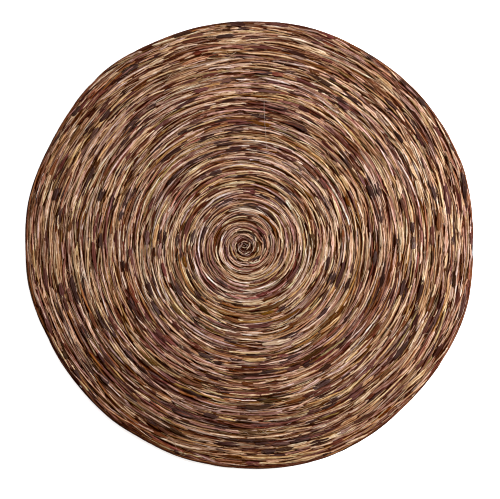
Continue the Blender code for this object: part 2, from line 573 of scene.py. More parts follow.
@dataclass(frozen=True)
class DriedGrass:
    """Grass blades dried in the sun: matt, veined along their length, with painted shade in their folds.

    The eye gets a crest painted a little paler and edges painted dark as shade, blotches and flecks from
    uneven drying, and little sheen.
    """

    name: str = "dried_grass_blades"
    veins: Mottle = Mottle(16, 1.5, 0, 0.3, 0.7, 0.86, 1.06)  # real ones are 0.2 mm, too fine to show
    blotches: Mottle = Mottle(10, 10 / 2.2, 4, 0.32, 0.66, 0.71, 1.11)
    flecks: Mottle = Mottle(3, 1.5, 2, 0.3, 0.6, 0.76, 1.06)
    lowest_rise: float = -0.15  # of the blade's half thickness, below which the painted shade of its side is darkest
    highest_rise: float = 0.8
    edge_light: float = 0.1
    crest_light: float = 1.04
    vein_relief: float = 0.03 * MM
    roughness: float = 0.6
    sheen: float = 0.06

    def material(self) -> bpy.types.Material:
        """Make the material."""
        material = bpy.data.materials.new(self.name)
        material.use_nodes = True
        tree = material.node_tree
        tree.nodes.clear()
        blade = add_node(tree, "ShaderNodeAttribute", {"attribute_name": "blade_colour"}).outputs["Color"]
        rise = add_node(tree, "ShaderNodeAttribute", {"attribute_name": "rise"}).outputs["Fac"]
        run = add_node(tree, "ShaderNodeUVMap", {"uv_map": "blade_mm"}).outputs["UV"]
        veins, light = self.veins.add(tree, run)
        # Painted shade and highlight: by its height on the blade, the colour is darkest at its edges and in
        # the pleats' folds, and a little paler on its crest.
        limits = {
            "From Min": self.lowest_rise, "From Max": self.highest_rise,
            "To Min": self.edge_light, "To Max": self.crest_light,
        }  # fmt: skip
        painted_edge_shade = add_node(tree, "ShaderNodeMapRange", limits, {"Value": rise}).outputs[0]
        for factor in (self.blotches.add(tree, run)[1], self.flecks.add(tree, run)[1], painted_edge_shade):
            product = add_node(tree, "ShaderNodeMath", {"operation": "MULTIPLY"}, {0: light, 1: factor})
            light = product.outputs[0]
        # Darker mottling and painted shade alike are made redder by these powers.
        shade_and_stain_tint = add_node(tree, "ShaderNodeVectorMath", {"operation": "POWER", 1: SHADE_AND_STAIN_POWER}, {0: light})
        shaded = add_node(
            tree, "ShaderNodeVectorMath", {"operation": "MULTIPLY"}, {0: blade, 1: shade_and_stain_tint.outputs[0]}
        )
        relief = add_node(
            tree, "ShaderNodeBump", {"Strength": 1.0, "Distance": self.vein_relief}, {"Height": veins}
        )
        shader = add_node(
            tree,
            "ShaderNodeBsdfPrincipled",
            {"Specular IOR Level": self.sheen, "Roughness": self.roughness},
            {"Base Color": shaded.outputs[0], "Normal": relief.outputs[0]},
        )
        add_node(tree, "ShaderNodeOutputMaterial", {}, {"Surface": shader.outputs[0]})
        return material


@dataclass(frozen=True)
class PackedGrassInShade:
    """Broken grass packed inside the bundle, dull; its nearly black red brown is painted shade for the dark
    between blades.
    """

    name: str = "packed_grass_pith_in_painted_shade"
    dark: str = "#2a0b03"
    pale: str = "#50240f"
    dark_below: float = 0.35  # of the noise
    pale_above: float = 0.7
    crumb: float = 1.5 * MM
    roughness: float = 0.85
    sheen: float = 0.1

    def material(self) -> bpy.types.Material:
        """Make the material."""
        material = bpy.data.materials.new(self.name)
        material.use_nodes = True
        tree = material.node_tree
        tree.nodes.clear()
        place = add_node(tree, "ShaderNodeTexCoord").outputs["Object"]
        crumbs = add_node(
            tree, "ShaderNodeTexNoise", {"Scale": 1 / self.crumb, "Detail": 3}, {"Vector": place}
        ).outputs["Fac"]
        ramp = add_node(tree, "ShaderNodeValToRGB", {}, {"Fac": crumbs})
        ramp.color_ramp.elements[0].position = self.dark_below
        ramp.color_ramp.elements[0].color = (*linear(self.dark), 1)
        ramp.color_ramp.elements[1].position = self.pale_above
        ramp.color_ramp.elements[1].color = (*linear(self.pale), 1)
        shader = add_node(
            tree,
            "ShaderNodeBsdfPrincipled",
            {"Roughness": self.roughness, "Specular IOR Level": self.sheen},
            {"Base Color": ramp.outputs["Color"]},
        ).outputs[0]
        add_node(tree, "ShaderNodeOutputMaterial", {}, {"Surface": shader})
        return material


@dataclass(frozen=True)
class BladeForm:
    """One blade as a closed tube of unit size, copied and then laid along the coil."""

    section: Section
    rings: int
    ease: float = 0.35  # how far the rings draw together towards both tips
    weld: float = 1e-5  # of the blade's length

    def mesh(self) -> bpy.types.Mesh:
        """Model the blade: a strip rolled into a tube and drawn to a point at both ends."""
        corners = self.section.value
        sides = len(corners)
        bm = bmesh.new()
        bm.loops.layers.uv.new("blade_mm")
        bmesh.ops.create_grid(bm, x_segments=self.rings, y_segments=sides, size=0.5, calc_uvs=True)
        for vert in bm.verts:
            side = round((vert.co.y + 0.5) * sides) % sides
            step = vert.co.x * 2
            along = self.ease * math.sin(step * math.pi / 2) + (1 - self.ease) * step
            at_tip = abs(step) > 1 - self.weld
            across, up = (0, 0) if at_tip else corners[side]
            vert.co = Vector((along / 2, across, up))
        bmesh.ops.remove_doubles(bm, verts=bm.verts, dist=self.weld)
        bmesh.ops.recalc_face_normals(bm, faces=bm.faces)
        mesh = bpy.data.meshes.new("blade_form")
        bm.to_mesh(mesh)
        bm.free()
        return mesh

    def copies(self, count: int, name: str) -> bpy.types.Object:
        """Make one object that holds many copies of the blade, all in one place.

        Args:
            count: How many copies.
            name: The object's name.

        Returns:
            The object, with the copies in its mesh.
        """
        single = bpy.data.objects.new("blade_form", self.mesh())
        bpy.context.scene.collection.objects.link(single)
        array = single.modifiers.new("copies", "ARRAY")
        array.count = count
        array.use_relative_offset = False
        array.use_merge_vertices = False
        evaluated = single.evaluated_get(bpy.context.evaluated_depsgraph_get())
        mesh = bpy.data.meshes.new_from_object(evaluated)
        mesh.name = name
        bpy.data.objects.remove(single)
        made = bpy.data.objects.new(name, mesh)
        bpy.context.scene.collection.objects.link(made)
        return made


@dataclass(frozen=True)
class BladeLayer:
    """One layer of blades, fed into the bundle one after another along a few lanes of the upper face."""

    name: str
    cut: Cut
    lanes: int
    sink: float  # how far the layer lies below the face
    lift: tuple[float, float] = (0.0, 0.0)  # how far each blade rises from there
    overlap: float = 0.0  # of a blade's length
    slant: float = 0.06  # spread of the angles to the coil's run, in radians
    jitter: float = 0.5  # of a lane's width
    shade: float = 1.0  # painted shade: light that it keeps under the layers above, or on the rim's side; above 1 it makes blades paler
    share_kept: float = 1.0  # of the blades, so that the layer below shows between them
    inmost: float = 1.0  # turn where the layer begins
    most_curl: float = 0.28  # of a whole round, the most that one blade is bent
    least_length: float = 3.5 * MM
    dive: float = 0.9 * MM  # how deep the tips are tucked in
    handfuls: Handfuls = field(default_factory=Handfuls)

    @property
    def reddened_painted_shade(self) -> Array:
        """The layer's painted shade in red, green and blue, redder where darker."""
        return self.shade ** np.array(SHADE_AND_STAIN_POWER)

    def fed(self, coil: Coil, rng: Rng) -> tuple[Array, Array, Array]:
        """Feed blades along each lane, end to end.

        Args:
            coil: The coil that the blades lie along.
            rng: The source of unevenness.

        Returns:
            The turn, the angle and the length of each blade.
        """
        shortest, longest = self.cut.length
        rows = []
        for lane in range(self.lanes):
            along = rng.random() * longest
            while along < coil.length:
                wound = float(coil.turn_at(along)) - 0.5
                curl = max(self.most_curl * FULL_TURN * wound * coil.pitch, self.least_length)
                length = min(shortest + (longest - shortest) * rng.random() ** 1.5, curl)
                across = (lane + 0.5 + rng.uniform(-self.jitter, self.jitter)) / self.lanes
                if self.inmost < wound + across < coil.turns - 0.1 and rng.random() < self.share_kept:
                    rows.append((wound + across, wound * FULL_TURN, length))
                along += length * (1 - self.overlap)
        turn, angle, length = np.array(rows).T
        return turn, angle, length

    def run(self, coil: Coil, rng: Rng) -> Run:
        """Choose each blade's place, size and colour.

        Args:
            coil: The coil that the blades lie along.
            rng: The source of unevenness.

        Returns:
            The blades of this layer.
        """
        turn, angle, length = self.fed(coil, rng)
        paler, longest = self.handfuls.patched(coil, turn, angle, length)
        length = np.minimum(length, longest)
        # Short blades and the inmost ones are narrower.
        narrower = np.clip(length / (14 * MM), 0.45, 1) * np.clip(0.32 + turn / 9, 0.4, 1)
        width = rng.uniform(*self.cut.width, len(turn)) * narrower
        # The layer's shade factor: painted shade below 1, paler blades above 1.
        colour = self.handfuls.colours(coil, turn, angle, paler, self.cut.tones, rng) * self.reddened_painted_shade
        return self.sized(rng, turn, angle, length, width, colour)

    def sized(self, rng: Rng, turn: Array, angle: Array, length: Array, width: Array, colour: Array) -> Run:
        """Choose the rest of each blade's form.

        Args:
            rng: The source of unevenness.
            turn: The blades' turns.
            angle: Their angles.
            length: Their lengths.
            width: Their widths.
            colour: Their linear colours.

        Returns:
            The blades.
        """
        count = len(turn)
        stiff = np.minimum(1.5 * MM / width, 1)  # a wide blade lies flatter
        return Run(
            turn=turn,
            angle=angle,
            length=length,
            width=width,
            thickness=rng.uniform(*self.cut.thickness, count),
            lift=rng.uniform(*self.lift, count) - self.sink,
            slant=rng.normal(0.02, self.slant, count),
            roll=rng.normal(0, 0.26, count) * stiff,
            twist=rng.normal(0, 0.6, count) * stiff,
            waver=rng.uniform(*self.cut.waver, count),
            phase=rng.uniform(0, FULL_TURN, count),
            point=rng.uniform(*self.cut.point, count),
            seed=rng.uniform(0, 400, count),
            colour=palest(colour),
        )

    def build(self, coil: Coil, rng: Rng, finish: bpy.types.Material) -> bpy.types.Object:
        """Lay the blades and dress them.

        Args:
            coil: The coil that they lie along.
            rng: The source of unevenness.
            finish: Their material.

        Returns:
            One object that holds the whole layer.
        """
        run = self.run(coil, rng)
        count = len(run.turn)
        made = BladeForm(self.cut.section, self.cut.rings).copies(count, self.name)
        mesh = made.data
        unit = np.empty(len(mesh.vertices) * 3)
        mesh.vertices.foreach_get("co", unit)
        unit = unit.reshape(count, -1, 3)
        mesh.vertices.foreach_set("co", self.laid(coil, run, unit).reshape(-1))
        self.write_attributes(mesh, run, unit)
        self.write_maps(mesh, run)
        mesh.materials.append(finish)
        mesh.shade_smooth()
        mesh.update()
        triangles = sum(len(face.vertices) - 2 for face in mesh.polygons)
        LOG.info("%s: %d blades, %d triangles", self.name, count, triangles)
        return made

    def shape(self, run: Run, unit: Array) -> tuple[Array, Array, Array, Array]:
        """Give each point of unit blades its blade's own form.

        Args:
            run: The blades' sizes.
            unit: Points of the unit blades, a row for each blade.

        Returns:
            Each point's distance along the coil, its centre line's drift outwards, and its own place
            across and up from the centre line.
        """
        along, across, up = (unit[:, :, axis] for axis in range(3))
        distance = along * run.length[:, None]
        wavy = run.phase[:, None] + FULL_TURN * along * self.cut.waves
        bend = np.sin(wavy) + 0.45 * np.sin(2.7 * wavy + 1)  # a long wave and a shorter one
        drift = np.tan(run.slant)[:, None] * distance + run.waver[:, None] * bend
        taper = (1 - np.abs(2 * along * 0.985) ** run.point[:, None]) ** 0.7  # the tips stay a little blunt
        uneven = 1 + 0.16 * np.sin(wavy * 1.7 + 1)  # no blade keeps its width
        half_width = run.width[:, None] / 2 * taper * uneven
        half_thickness = run.thickness[:, None] / 2 * taper**0.5
        return distance, drift, across * half_width, up * half_thickness

    def path(self, coil: Coil, run: Run, distance: Array) -> tuple[Array, Array]:
        """Follow the coil from each blade's middle.

        Args:
            coil: The coil.
            run: The blades' places and sizes.
            distance: Distances along each blade from its middle.

        Returns:
            Turns and angles at those distances.
        """
        middle = run.turn[:, None]
        turn = np.sqrt(np.maximum(middle**2 + distance / (math.pi * coil.pitch), 0.002))
        return turn, run.angle[:, None] + FULL_TURN * (turn - middle)

    def laid(self, coil: Coil, run: Run, unit: Array) -> Array:
        """Bend unit blades along the coil's upper face.

        Args:
            coil: The coil.
            run: The blades' places and sizes.
            unit: Points of the unit blades, a row for each blade.

        Returns:
            The points where they lie.
        """
        return self.laid_on(coil, run, unit, coil.height, 1)

    def laid_on(
        self, coil: Coil, run: Run, unit: Array, face: Callable[[Array, Array], Array], facing: int
    ) -> Array:
        """Bend unit blades along one face of the coil.

        Args:
            coil: The coil.
            run: The blades' places and sizes.
            unit: Points of the unit blades, a row for each blade.
            face: The function that gives the face's height.
            facing: 1 for a face that looks up, -1 for one that looks down.

        Returns:
            The points where they lie.
        """
        distance, drift, across, up = self.shape(run, unit)
        turn, angle = self.path(coil, run, distance)
        turn = np.clip(turn + drift / coil.pitch, 0.04, coil.turns - 0.1)
        step = 0.06  # of a turn, over which the face's slope is taken
        slope = (face(turn + step, angle) - face(turn - step, angle)) / (2 * step * coil.pitch)
        roll = run.roll[:, None] + run.twist[:, None] * unit[:, :, 0] + np.arctan(slope) * 0.9
        outward = across * np.cos(roll) - up * np.sin(roll) * facing
        rise = across * np.sin(roll) + up * np.cos(roll) * facing
        height = face(turn, angle) + facing * (run.lift[:, None] - self.dived(unit)) + rise
        place = coil.place(turn, angle)
        place[..., 0] += outward * np.cos(angle)
        place[..., 1] += outward * np.sin(angle)
        return np.concatenate([place, np.maximum(height, TABLE_GAP)[..., None]], axis=-1)

    def dived(self, unit: Array) -> Array:
        """How deep each point of unit blades is tucked in."""
        return self.dive * np.abs(2 * unit[:, :, 0]) ** 5

    def write_attributes(self, mesh: bpy.types.Mesh, run: Run, unit: Array) -> None:
        """Store each point's blade colour and how high it stands on its blade.

        Args:
            mesh: The layer's mesh.
            run: The blades.
            unit: Points of the unit blades, a row for each blade.
        """
        colour = mesh.attributes.new("blade_colour", "FLOAT_COLOR", "POINT")
        rows = np.concatenate([run.colour, np.ones((len(run.colour), 1))], axis=1)
        colour.data.foreach_set("color", np.repeat(rows, unit.shape[1], axis=0).reshape(-1))
        rise = mesh.attributes.new("rise", "FLOAT", "POINT")
        rise.data.foreach_set("value", unit[:, :, 2].reshape(-1))

    def write_maps(self, mesh: bpy.types.Mesh, run: Run) -> None:
        """Write the map that the pattern reads, in millimetres, and a map where no two blades overlap.

        Args:
            mesh: The layer's mesh, whose blades each fill the unit square of its map.
            run: The blades.
        """
        count = len(run.turn)
        layer = mesh.uv_layers["blade_mm"]
        unit = np.empty(len(mesh.loops) * 2)
        layer.uv.foreach_get("vector", unit)
        unit = unit.reshape(count, -1, 2)
        size = np.stack([run.length, 2.2 * run.width], axis=-1) / MM
        pattern = unit * size[:, None, :] + run.seed[:, None, None]
        layer.uv.foreach_set("vector", pattern.reshape(-1))
        columns = max(round(math.sqrt(count * size[:, 1].mean() / size[:, 0].mean())), 1)
        rows = math.ceil(count / columns)
        order = np.arange(count)
        corner = np.stack([order % columns, order // columns], axis=-1)
        spread = (corner[:, None, :] + 0.05 + 0.9 * unit) / np.array([columns, rows])
        mesh.uv_layers.new(name="OFBake").uv.foreach_set("vector", spread.reshape(-1))


@dataclass(frozen=True)
class UnderLayer(BladeLayer):
    """Blades laid along the underside."""

    def laid(self, coil: Coil, run: Run, unit: Array) -> Array:
        """Bend unit blades along the coil's underside."""
        return self.laid_on(coil, run, unit, coil.under_height, -1)


@dataclass(frozen=True)
class RimLayer(BladeLayer):
    """Blades laid round the rim's side, from its upper face to the table."""

    half_height: float = 2.0 * MM
    half_depth: float = 2.2 * MM
    reach: tuple[float, float] = (math.radians(-62), math.radians(84))  # how far round the side it goes
    dive: float = 0.6 * MM

    def fed(self, coil: Coil, rng: Rng) -> tuple[Array, Array, Array]:
        """Feed blades round the rim along each lane, from the lowest lane to the highest.

        Args:
            coil: The coil that the blades lie along.
            rng: The source of unevenness.

        Returns:
            The turn, the angle and the length of each blade.
        """
        turns, angles, lengths = [], [], []
        shortest, longest = self.cut.length
        for lane in range(self.lanes):
            lane_lengths = rng.uniform(shortest, longest, int(FULL_TURN * coil.radius / shortest))
            along = np.cumsum(lane_lengths * (1 - self.overlap))
            kept = along < FULL_TURN * coil.radius
            across = (lane + 0.5 + rng.uniform(-self.jitter, self.jitter, kept.sum())) / self.lanes
            turns.append(coil.turns - 1 + across)
            angles.append(along[kept] / coil.radius)
            lengths.append(lane_lengths[kept])
        return tuple(np.concatenate(part) for part in (turns, angles, lengths))

    def laid(self, coil: Coil, run: Run, unit: Array) -> Array:
        """Bend unit blades round the rim's side. Their turn tells how high on the side they lie.

        Args:
            coil: The coil.
            run: The blades' places and sizes.
            unit: Points of the unit blades, a row for each blade.

        Returns:
            The points where they lie.
        """
        distance, drift, across, up = self.shape(run, unit)
        angle = run.angle[:, None] + distance / coil.radius
        lowest, highest = self.reach
        share = run.turn[:, None] - coil.turns + 1
        tilt = lowest + (highest - lowest) * share + drift / self.half_height
        roll = run.roll[:, None] + run.twist[:, None] * unit[:, :, 0]
        level = across * np.cos(roll) - up * np.sin(roll)
        out = across * np.sin(roll) + up * np.cos(roll) + run.lift[:, None]
        dive = self.dived(unit)
        depth = (self.half_depth + out - dive) * np.cos(tilt) + level * np.sin(tilt)
        height = self.half_height * (1 + np.sin(tilt)) + (out - dive) * np.sin(tilt) - level * np.cos(tilt)
        place = coil.place(coil.turns, angle)
        place[..., 0] += (depth - self.half_depth) * np.cos(angle)
        place[..., 1] += (depth - self.half_depth) * np.sin(angle)
        return np.concatenate([place, np.maximum(height, TABLE_GAP)[..., None]], axis=-1)


@dataclass(frozen=True)
class CoilStart(BladeLayer):
    """The first blades, curled round and round before the bundle has its full width."""

    count: int = 100
    least_turn: float = 0.1
    reach: float = 2.3  # turns from the coil's start
    share_of_round: tuple[float, float] = (0.14, 0.3)  # how far round one blade goes
    winding: float = 0.3  # turns outwards for each round

    def fed(self, coil: Coil, rng: Rng) -> tuple[Array, Array, Array]:
        """Scatter arcs round the coil's start.

        Args:
            coil: The coil that the blades lie along.
            rng: The source of unevenness.

        Returns:
            The turn, the angle and the length of each blade.
        """
        turn = self.least_turn + (self.reach - self.least_turn) * rng.random(self.count) ** 0.75
        angle = rng.uniform(0, FULL_TURN, self.count)
        return turn, angle, rng.uniform(*self.share_of_round, self.count) * FULL_TURN * turn * coil.pitch

    def path(self, coil: Coil, run: Run, distance: Array) -> tuple[Array, Array]:
        """Follow a circle round the coil's start from each blade's middle.

        Args:
            coil: The coil.
            run: The blades' places and sizes.
            distance: Distances along each blade from its middle.

        Returns:
            Turns and angles at those distances.
        """
        middle = run.turn[:, None]
        turned = distance / (middle * coil.pitch)
        return middle + self.winding * turned / FULL_TURN, run.angle[:, None] + turned


@dataclass(frozen=True)
class Tufts(BladeLayer):
    """Torn ends of blades that stand out in small tufts. Spots are in millimetres from the mat's middle."""

    spots: tuple[tuple[float, float], ...] = ()
    strands: int = 8  # in each tuft
    spread: float = 1.3 * MM

    def fed(self, coil: Coil, rng: Rng) -> tuple[Array, Array, Array]:
        """Gather a few strands round each spot.

        Args:
            coil: The coil that the blades lie along.
            rng: The source of unevenness.

        Returns:
            The turn, the angle and the length of each blade.
        """
        spots = np.repeat(np.array(self.spots) * MM, self.strands, axis=0)
        spots += rng.normal(0, self.spread, spots.shape)
        turn, angle = coil.find(spots[:, 0], spots[:, 1])
        return np.minimum(turn, coil.turns - 0.3), angle, rng.uniform(*self.cut.length, len(turn))


@dataclass(frozen=True)
class Accent:
    """A blade that stands out: its middle and size in millimetres.

    It leans outwards from the coil's run by some degrees.
    """

    x: float
    y: float
    length: float
    width: float
    tone: Tone
    lean: float = 0


@dataclass(frozen=True)
class AccentLayer(BladeLayer):
    """The blades that stand out. The dark ones lie lower, partly covered."""

    accents: tuple[Accent, ...] = ()
    dark_sink: float = 0.03 * MM  # how much lower the dark ones lie

    def run(self, coil: Coil, rng: Rng) -> Run:
        """Take each blade's place, size and colour from the table.

        Args:
            coil: The coil that the blades lie along.
            rng: The source of unevenness.

        Returns:
            The blades.
        """
        rows = np.array([(row.x, row.y, row.length, row.width) for row in self.accents]) * MM
        turn, angle = coil.find(rows[:, 0], rows[:, 1])
        # The layer's shade factor: painted shade below 1, paler blades above 1.
        colour = np.array([linear(row.tone.value) for row in self.accents]) * self.reddened_painted_shade
        run = self.sized(rng, np.minimum(turn, coil.turns - 0.35), angle, rows[:, 2], rows[:, 3], colour)
        lean = np.radians([row.lean for row in self.accents])
        dark = np.array([row.tone in (Tone.INK, Tone.PLUM, Tone.UMBER) for row in self.accents])
        lift = run.lift - self.dark_sink * dark
        return replace(run, lift=lift, slant=lean + 0.4 * run.slant, waver=0.6 * run.waver)


@dataclass(frozen=True)
class Strand:
    """A bent strand: three places along it in millimetres from the mat's middle."""

    start: tuple[float, float]
    middle: tuple[float, float]
    end: tuple[float, float]
    width: float
    tone: Tone


@dataclass(frozen=True)
class StrandLayer(BladeLayer):
    """Strands that don't follow the coil, each bent through its own three places."""

    strands: tuple[Strand, ...] = ()
    dive: float = 0.5 * MM

    def run(self, coil: Coil, rng: Rng) -> Run:
        """Take each strand's place, size and colour from the table.

        Args:
            coil: The coil that the blades lie along.
            rng: The source of unevenness.

        Returns:
            The blades.
        """
        start, middle, end = self.places()
        turn, angle = coil.find(middle[:, 0], middle[:, 1])
        length = np.linalg.norm(middle - start, axis=1) + np.linalg.norm(end - middle, axis=1)
        width = np.array([strand.width for strand in self.strands]) * MM
        # The layer's shade factor: painted shade below 1, paler blades above 1.
        colour = np.array([linear(strand.tone.value) for strand in self.strands]) * self.reddened_painted_shade
        return replace(self.sized(rng, turn, angle, length, width, colour), slant=np.zeros(len(turn)))

    def places(self) -> tuple[Array, Array, Array]:
        """Starts, middles and ends of the strands in metres."""
        rows = np.array([(strand.start, strand.middle, strand.end) for strand in self.strands]) * MM
        return rows[:, 0], rows[:, 1], rows[:, 2]

    def laid(self, coil: Coil, run: Run, unit: Array) -> Array:
        """Bend unit strands along curves through their three places, over the coil's upper face.

        Args:
            coil: The coil.
            run: The blades' places and sizes.
            unit: Points of the unit blades, a row for each blade.

        Returns:
            The points where they lie.
        """
        _, drift, across, up = self.shape(run, unit)
        start, middle, end = (place[:, None, :] for place in self.places())
        share = unit[:, :, :1] + 0.5
        line = start * (1 - share) * (1 - 2 * share) + middle * 4 * share * (1 - share)
        line = line + end * share * (2 * share - 1)
        along = start * (4 * share - 3) + middle * (4 - 8 * share) + end * (4 * share - 1)
        along = along / np.linalg.norm(along, axis=2, keepdims=True)
        aside = np.stack([along[..., 1], -along[..., 0]], axis=-1)
        place = line + aside * (across + drift)[..., None]
        turn, angle = coil.find(place[..., 0], place[..., 1])
        height = coil.height(turn, angle) + run.lift[:, None] - self.dived(unit) + up
        return np.concatenate([place - coil.origin, height[..., None]], axis=-1)


@dataclass(frozen=True)
class SewingThread:
    """Thin clear thread with a dull shine. Against the grass it gives the eye a faint pale line."""

    name: str = "nylon_thread"
    colour: str = "#a39181"
    roughness: float = 0.4

    def material(self) -> bpy.types.Material:
        """Make the material."""
        material = bpy.data.materials.new(self.name)
        material.use_nodes = True
        shader = material.node_tree.nodes["Principled BSDF"]
        shader.inputs["Base Color"].default_value = (*linear(self.colour), 1)
        shader.inputs["Roughness"].default_value = self.roughness
        return material


@dataclass(frozen=True)
class Pith:
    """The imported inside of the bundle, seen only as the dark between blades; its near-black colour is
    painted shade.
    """

    name: str = "coil_pith"
    steps: int = 144
    lines_per_turn: int = 4
    sink: float = 1.15 * MM  # below the upper face
    floor: float = 0.8 * MM  # above the table
    least_thickness: float = 0.3 * MM
    weld: float = 0.001 * MM
    inset: float = 1.1 * MM  # inside the rim

    def build(self, coil: Coil, finish: bpy.types.Material) -> bpy.types.Object:
        """Wind the pith as one closed body.

        Args:
            coil: The coil.
            finish: Its material.

        Returns:
            The pith.
        """
        lines = self.lines_per_turn * (coil.turns + 1)
        bm = bmesh.new()
        bmesh.ops.create_grid(bm, x_segments=self.steps, y_segments=lines + 1, size=0.5)
        spots = np.array([vert.co[:2] for vert in bm.verts]) + 0.5
        wound = np.round(spots[:, 0] * self.steps) / self.steps
        line = np.round(spots[:, 1] * (lines + 1))
        order = np.minimum(line, lines) / self.lines_per_turn - 1
        turn = np.clip(order + wound, 0, coil.turns)
        angle = wound * FULL_TURN
        place = coil.place(turn * (1 - self.inset / coil.radius), angle)
        height = np.maximum(coil.height(turn, angle) - self.sink, self.floor + self.least_thickness)
        height[line > lines] = self.floor  # the last line is the foot of the rim's side
        for vert, (x, y), z in zip(bm.verts, place, height):
            vert.co = (x, y, z)
        bmesh.ops.remove_doubles(bm, verts=bm.verts, dist=self.weld)
        bmesh.ops.edgeloop_fill(bm, edges=[edge for edge in bm.edges if edge.is_boundary])
        bmesh.ops.recalc_face_normals(bm, faces=bm.faces)
        mesh = bpy.data.meshes.new(self.name)
        bm.to_mesh(mesh)
        bm.free()
        mesh.materials.append(finish)
        mesh.shade_smooth()
        pith = bpy.data.objects.new(self.name, mesh)
        bpy.context.scene.collection.objects.link(pith)
        LOG.info("%s: %d faces", self.name, len(mesh.polygons))
        return pith


BED = Cut(
    section=Section.DIAMOND,
    rings=8,
    length=(30 * MM, 84 * MM),
    width=(1.5 * MM, 2.6 * MM),
    thickness=(0.6 * MM, 1.0 * MM),
    tones={
        Tone.SAND: 8, Tone.ROSE: 9, Tone.CINNAMON: 18, Tone.MAUVE: 3, Tone.RUST: 11, Tone.CHESTNUT: 24,
        Tone.UMBER: 21, Tone.PLUM: 6,
    },
)  # fmt: skip
BODY = Cut(
    section=Section.KEEL,
    rings=9,
    length=(16 * MM, 70 * MM),
    width=(1.3 * MM, 2.3 * MM),
    thickness=(0.8 * MM, 1.4 * MM),
    tones={
        Tone.STRAW: 8, Tone.SHELL: 5, Tone.SAND: 13, Tone.HONEY: 13, Tone.ROSE: 15, Tone.ASH: 8,
        Tone.OLIVE: 5, Tone.CINNAMON: 9, Tone.MAUVE: 9, Tone.RUST: 2, Tone.CHESTNUT: 8, Tone.UMBER: 2,
        Tone.PLUM: 3,
    },
)  # fmt: skip
TOP = replace(BODY, width=(1.5 * MM, 2.6 * MM), thickness=(0.9 * MM, 1.4 * MM))
LEAF = Cut(
    section=Section.PLEATED,
    rings=10,
    length=(12 * MM, 34 * MM),
    width=(2.5 * MM, 4.5 * MM),
    thickness=(0.6 * MM, 1.0 * MM),
    tones={
        Tone.STRAW: 4, Tone.SAND: 4, Tone.HONEY: 6, Tone.MAUVE: 8, Tone.CHESTNUT: 9, Tone.UMBER: 9,
        Tone.PLUM: 28, Tone.INK: 32,
    },
    point=(1.5, 3.5),
)  # fmt: skip
FIBRE = Cut(
    section=Section.WEDGE,
    rings=8,
    length=(14 * MM, 72 * MM),
    width=(0.6 * MM, 1.1 * MM),
    thickness=(0.35 * MM, 0.6 * MM),
    tones={
        Tone.STRAW: 26, Tone.SHELL: 10, Tone.SAND: 18, Tone.HONEY: 14, Tone.ROSE: 8, Tone.RUST: 2,
        Tone.UMBER: 11, Tone.INK: 11,
    },
    waver=(0.08 * MM, 0.35 * MM),
)  # fmt: skip
FRAY = Cut(
    section=Section.WEDGE,
    rings=6,
    length=(3 * MM, 11 * MM),
    width=(0.5 * MM, 0.8 * MM),
    thickness=(0.3 * MM, 0.4 * MM),
    tones={Tone.STRAW: 40, Tone.SAND: 30, Tone.HONEY: 15, Tone.ASH: 15},
    waver=(0.1 * MM, 0.5 * MM),
)
CURL = Cut(
    section=Section.KEEL,
    rings=9,
    length=(3 * MM, 30 * MM),
    width=(0.9 * MM, 1.7 * MM),
    thickness=(0.5 * MM, 0.9 * MM),
    tones={
        Tone.STRAW: 16, Tone.SAND: 14, Tone.HONEY: 8, Tone.ROSE: 12, Tone.ASH: 8, Tone.MAUVE: 10,
        Tone.CHESTNUT: 14, Tone.UMBER: 18,
    },
    waver=(0.05 * MM, 0.3 * MM),
)  # fmt: skip
THREAD = Cut(
    section=Section.WEDGE,
    rings=56,
    length=(10 * MM, 50 * MM),
    width=(0.3 * MM, 0.3 * MM),
    thickness=(0.3 * MM, 0.3 * MM),
    tones={Tone.ASH: 1},
    waver=(0.1 * MM, 0.2 * MM),
)
TUFT_SPOTS = (
    (-32, 176), (-16, 159), (-77, 155), (-68, 143), (-152, 25), (-159, 16), (154, 100), (146, 77),
    (146, 42), (124, -4), (148, -9), (140, -52), (-174, -55), (-59, -177), (-65, -168), (-135, -100),
    (-59, -86), (10, -158), (55, 140), (70, 115),
)  # fmt: skip
